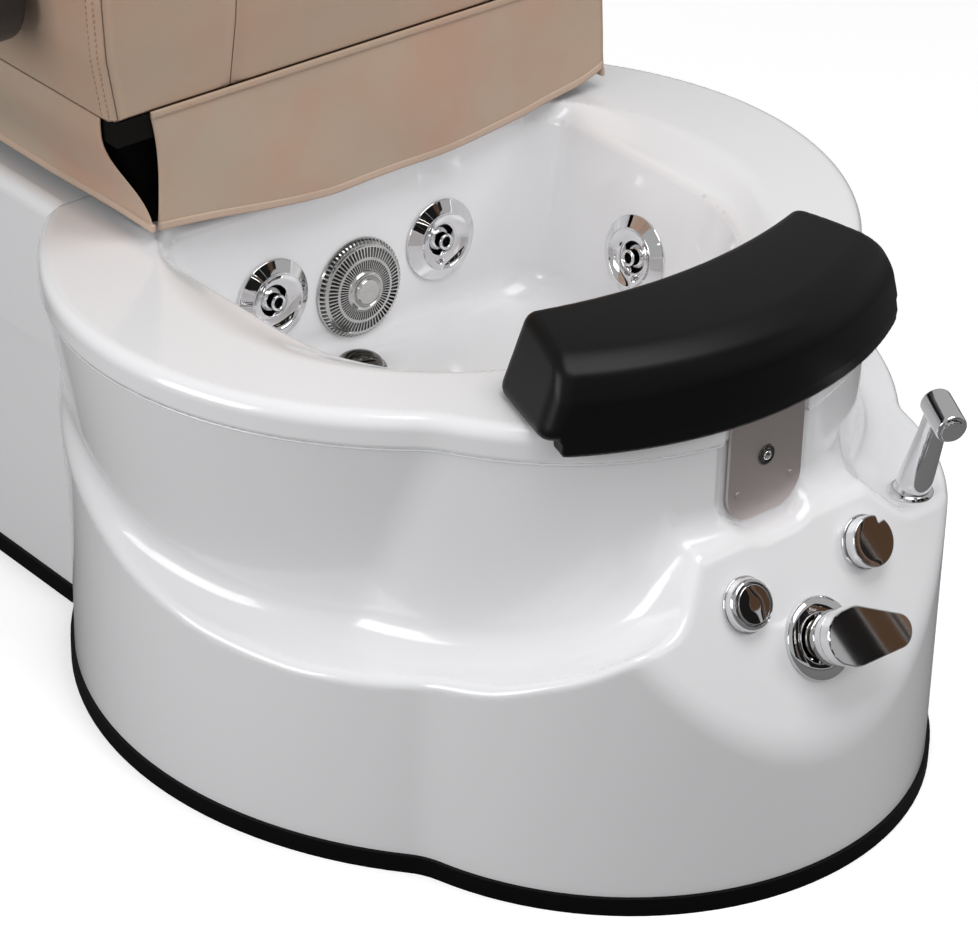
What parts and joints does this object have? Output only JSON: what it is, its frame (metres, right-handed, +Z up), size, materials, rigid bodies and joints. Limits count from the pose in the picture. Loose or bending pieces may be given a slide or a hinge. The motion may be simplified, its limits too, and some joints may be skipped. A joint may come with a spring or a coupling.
{
  "type": "pedicure spa chair",
  "caption": "Powered padded seat on a pedestal behind a white foot tub with water jets, tap console, hand shower and a height-adjustable footrest.",
  "frame": {"origin": "on the floor under the middle of the chair's bounding box", "axes": "+Z up, -Y the way the sitter faces, X across the chair, in the left-right symmetry plane of seat and tub"},
  "size_m": [0.802, 1.4122, 1.2805],
  "materials": {
    "white_acrylic": "glossy white moulded acrylic",
    "black_rubber": "black moulded strip",
    "chrome": "polished chrome",
    "grey_plastic": "grey moulded plastic",
    "silver_plastic": "silver plated plastic",
    "brass": "cast brass",
    "brushed_steel": "brushed stainless steel",
    "zinc_steel": "zinc plated steel",
    "black_leather": "satin black coated pad",
    "dark_paint": "black painted steel tube",
    "plywood": "plywood",
    "tan_leather": "soft tan leather",
    "dark_plastic": "dark brown moulded plastic"
  },
  "bodies": {
    "tub": {"tub_shell": "white_acrylic", "basin": "white_acrylic", "tub_kick_strip": "black_rubber", "pedestal_kick_strip": "black_rubber", "pedestal_shell": "white_acrylic", "service_panel": "white_acrylic", "service_panel_screws": "chrome", "jet_faces": "chrome", "jet_bodies": "grey_plastic", "suction_cover": "silver_plastic", "suction_body": "grey_plastic", "drain_flange": "chrome", "drain_tail": "grey_plastic", "push_button_bezel": "chrome", "diverter_base": "chrome", "console_nuts": "grey_plastic", "mixer_escutcheon": "chrome", "mixer_valve": "brass", "shower_flange": "chrome", "footrest_plate": "brushed_steel", "footrest_plate_screws": "brushed_steel", "footrest_holder": "zinc_steel", "base_frame": "dark_paint", "frame_posts": "dark_paint", "levelling_feet": "black_rubber", "pump_motor": "dark_paint", "pump_housing": "grey_plastic", "seat_rails": "zinc_steel", "slide_actuator": "dark_paint"},
    "seat": {"seat_runners": "dark_paint", "slide_rod": "chrome", "seat_frame": "dark_paint", "seat_pan": "plywood", "seat_cushion": "tan_leather", "front_apron": "tan_leather", "side_aprons": "tan_leather", "recline_drive": "dark_paint", "arm_brackets": "dark_paint"},
    "back": {"back_plate": "plywood", "back_cushion": "tan_leather", "back_shell": "dark_plastic"},
    "arm_left": {"arm_shell_left": "dark_plastic", "arm_pad_left": "tan_leather"},
    "arm_right": {"arm_shell_right": "dark_plastic", "arm_pad_right": "tan_leather"},
    "footrest": {"footrest_post": "brushed_steel", "footrest_bracket": "zinc_steel", "footrest_pad": "black_leather"},
    "lock_button": {"lock_button": "chrome"},
    "stopper": {"drain_stopper": "chrome"},
    "push_button": {"push_button_cap": "chrome"},
    "diverter": {"diverter_knob": "chrome"},
    "mixer_swivel": {"mixer_collar": "chrome"},
    "mixer_lever": {"mixer_lever": "chrome"},
    "hand_shower": {"shower_handle": "chrome", "shower_head": "chrome"},
    "nozzle_rear_left": {"jet_nozzle_rear_left": "dark_plastic"},
    "nozzle_rear_right": {"jet_nozzle_rear_right": "dark_plastic"},
    "nozzle_side_left": {"jet_nozzle_side_left": "dark_plastic"},
    "nozzle_side_right": {"jet_nozzle_side_right": "dark_plastic"}
  },
  "joints": [
    {"name": "seat_slide", "type": "slide", "parent": "tub", "child": "seat", "axis": [0, -1, 0], "range_m": [0, 0.1]},
    {"name": "back_recline", "type": "hinge", "parent": "seat", "child": "back", "pos_m": [0, 0.51115, 0.6], "axis": [-1, 0, 0], "range_deg": [0, 30]},
    {"name": "arm_left_lift", "type": "hinge", "parent": "seat", "child": "arm_left", "pos_m": [-0.35, 0.39615, 0.7], "axis": [-1, 0, 0], "range_deg": [0, 80]},
    {"name": "arm_right_lift", "type": "hinge", "parent": "seat", "child": "arm_right", "pos_m": [0.35, 0.39615, 0.7], "axis": [-1, 0, 0], "range_deg": [0, 80]},
    {"name": "footrest_height", "type": "slide", "parent": "tub", "child": "footrest", "axis": [0, 0, 1], "range_m": [0, 0.06]},
    {"name": "lock_press", "type": "slide", "parent": "tub", "child": "lock_button", "axis": [0, 1, 0], "range_m": [0, 0.004], "stiffness_N_per_m": 300, "springref_m": -0.002},
    {"name": "stopper_lift", "type": "slide", "parent": "tub", "child": "stopper", "axis": [0, 0, 1], "range_m": [0, 0.01]},
    {"name": "button_press", "type": "slide", "parent": "tub", "child": "push_button", "axis": [0, 0.8788, -0.4772], "range_m": [0, 0.004], "stiffness_N_per_m": 300, "springref_m": -0.002},
    {"name": "diverter_turn", "type": "hinge", "parent": "tub", "child": "diverter", "pos_m": [0.086, -0.62419, 0.27931], "axis": [0, -0.8788, 0.4772], "range_deg": [-90, 90]},
    {"name": "mixer_turn", "type": "hinge", "parent": "tub", "child": "mixer_swivel", "pos_m": [0.008, -0.65425, 0.22394], "axis": [0, -0.8788, 0.4772], "range_deg": [-45, 45]},
    {"name": "mixer_lift", "type": "hinge", "parent": "mixer_swivel", "child": "mixer_lever", "pos_m": [0.008, -0.67183, 0.23348], "axis": [-0.2419, -0.463, -0.8527], "range_deg": [0, 14]},
    {"name": "shower_lift_off", "type": "slide", "parent": "tub", "child": "hand_shower", "axis": [0, -0.2588, 0.9659], "range_m": [0, 0.15]},
    {"name": "nozzle_tilt_rear_left", "type": "hinge", "parent": "tub", "child": "nozzle_rear_left", "pos_m": [-0.104, -0.00502, 0.32651], "axis": [1, 0, 0], "range_deg": [-10, 10]},
    {"name": "nozzle_tilt_rear_right", "type": "hinge", "parent": "tub", "child": "nozzle_rear_right", "pos_m": [0.104, -0.00502, 0.32651], "axis": [1, 0, 0], "range_deg": [-10, 10]},
    {"name": "nozzle_tilt_side_left", "type": "hinge", "parent": "tub", "child": "nozzle_side_left", "pos_m": [-0.23404, -0.16285, 0.32897], "axis": [0, 1, 0], "range_deg": [-10, 10]},
    {"name": "nozzle_tilt_side_right", "type": "hinge", "parent": "tub", "child": "nozzle_side_right", "pos_m": [0.23404, -0.16285, 0.32897], "axis": [0, 1, 0], "range_deg": [-10, 10]}
  ]
}
